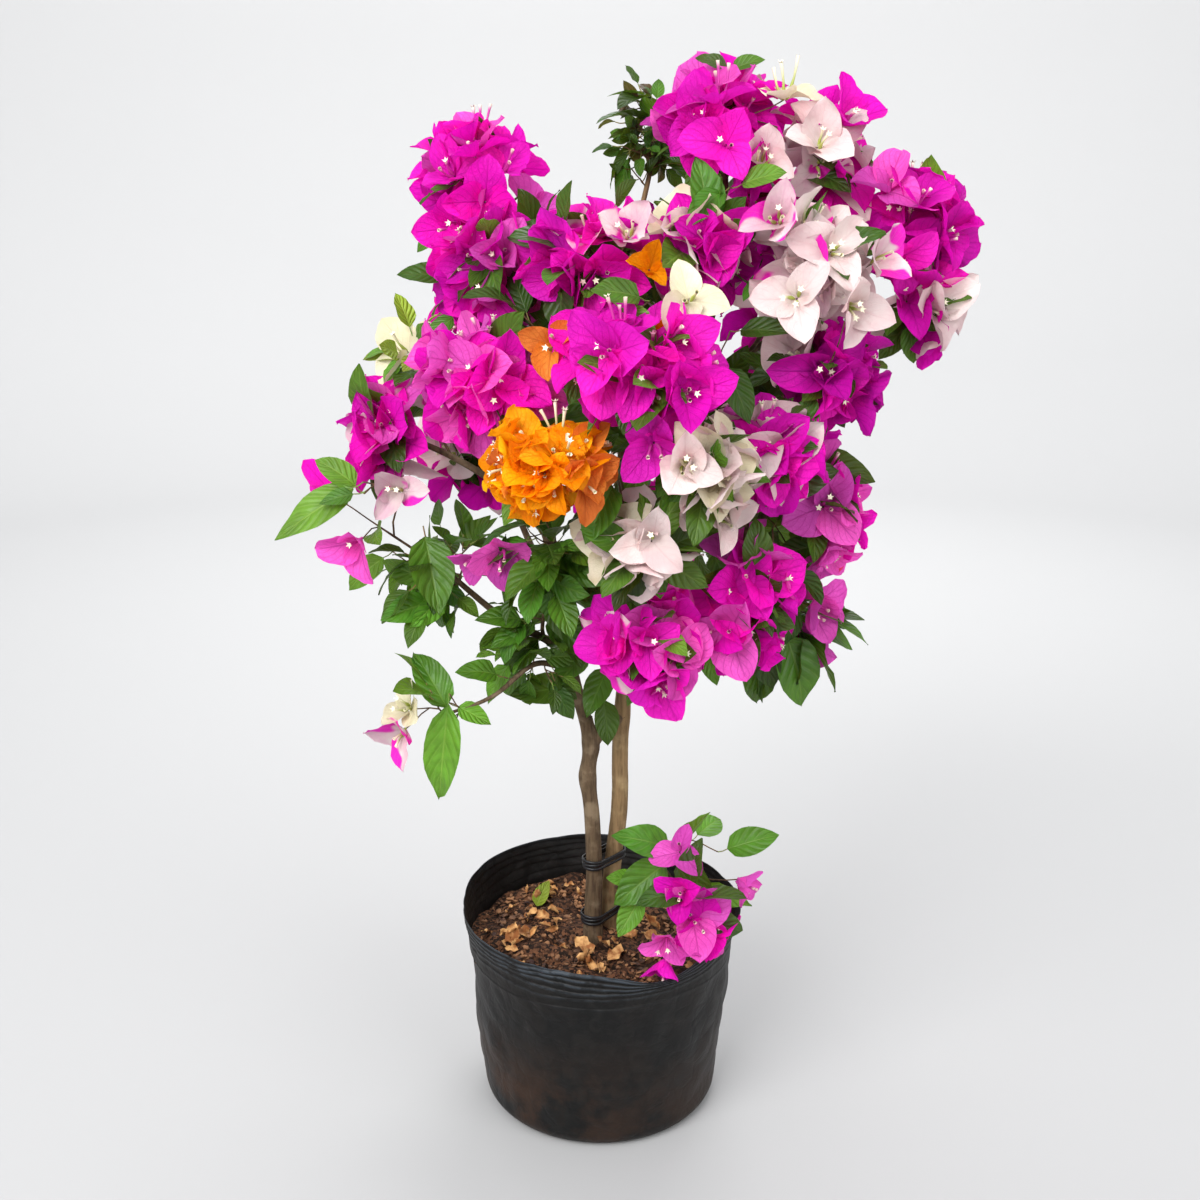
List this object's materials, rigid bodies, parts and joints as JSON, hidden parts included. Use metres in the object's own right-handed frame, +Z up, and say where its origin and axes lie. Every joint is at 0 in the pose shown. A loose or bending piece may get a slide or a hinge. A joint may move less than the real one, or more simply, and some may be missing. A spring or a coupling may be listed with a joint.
{
  "type": "potted bougainvillea bush",
  "caption": "Flowering bougainvillea bush on two tied stems in a round black film grow bag, with an open crown of green leaves and papery magenta, blush and amber bracts.",
  "frame": {"origin": "centre of the grow bag's flat underside, on the surface it stands on", "axes": "+Z up along the stems; -Y is the front, the side with the amber bracts and the low shoot; +X is the right seen from the front"},
  "size_m": [0.601, 0.4865, 0.9899],
  "materials": {
    "bag_film": "black polythene film, satin, creased",
    "potting_soil": "damp crumbly potting mix with bark chips",
    "grey_bark": "grey-brown rough bark",
    "tan_bark": "tan bark, smoother",
    "tie_tape": "black tape, satin",
    "leaves": "green leaf, waxy sheen",
    "magenta_bracts": "thin papery bract, magenta",
    "blush_bracts": "thin papery bract, blush white",
    "amber_bracts": "thin papery bract, amber orange"
  },
  "bodies": {
    "root": {"grow_bag": "bag_film", "soil": "potting_soil", "stem_left": "grey_bark", "stem_right": "tan_bark", "fork_arm": "grey_bark", "bough_left": "grey_bark", "bough_low_left": "grey_bark", "bough_centre_left": "grey_bark", "bough_arm_left": "grey_bark", "bough_shoulder": "grey_bark", "leader": "tan_bark", "bough_head": "grey_bark", "bough_head_right": "grey_bark", "bough_right": "grey_bark", "bough_front": "grey_bark", "bough_front_low": "grey_bark", "bough_back": "grey_bark", "bough_back_left": "grey_bark", "bough_back_right": "grey_bark", "bough_low": "grey_bark", "tie_lower": "tie_tape", "tie_upper": "tie_tape", "spike_left": "magenta_bracts", "shoulder_left": "magenta_bracts", "brow_left": "magenta_bracts", "brow_right": "blush_bracts", "head_top": "magenta_bracts", "head_crest": "blush_bracts", "head_right": "magenta_bracts", "tail_right": "blush_bracts", "blush_right": "blush_bracts", "cheek_left": "magenta_bracts", "arm_left_top": "leaves", "arm_left": "magenta_bracts", "tip_left": "leaves", "amber_front": "amber_bracts", "front_bloom": "magenta_bracts", "blush_front": "blush_bracts", "right_mid": "magenta_bracts", "right_flank": "magenta_bracts", "right_low": "magenta_bracts", "lower_right": "magenta_bracts", "skirt_right": "leaves", "lower_front": "magenta_bracts", "blush_low": "blush_bracts", "leaf_front": "leaves", "leaf_left": "leaves", "leaf_under": "leaves", "spray_left": "leaves", "top_shoot": "leaves", "crest_back": "leaves", "back_head": "magenta_bracts", "back_upper_left": "leaves", "back_mid": "magenta_bracts", "back_right": "leaves", "back_left": "magenta_bracts", "back_low": "leaves", "low_leaves": "leaves", "low_blooms": "magenta_bracts"}
  },
  "joints": []
}
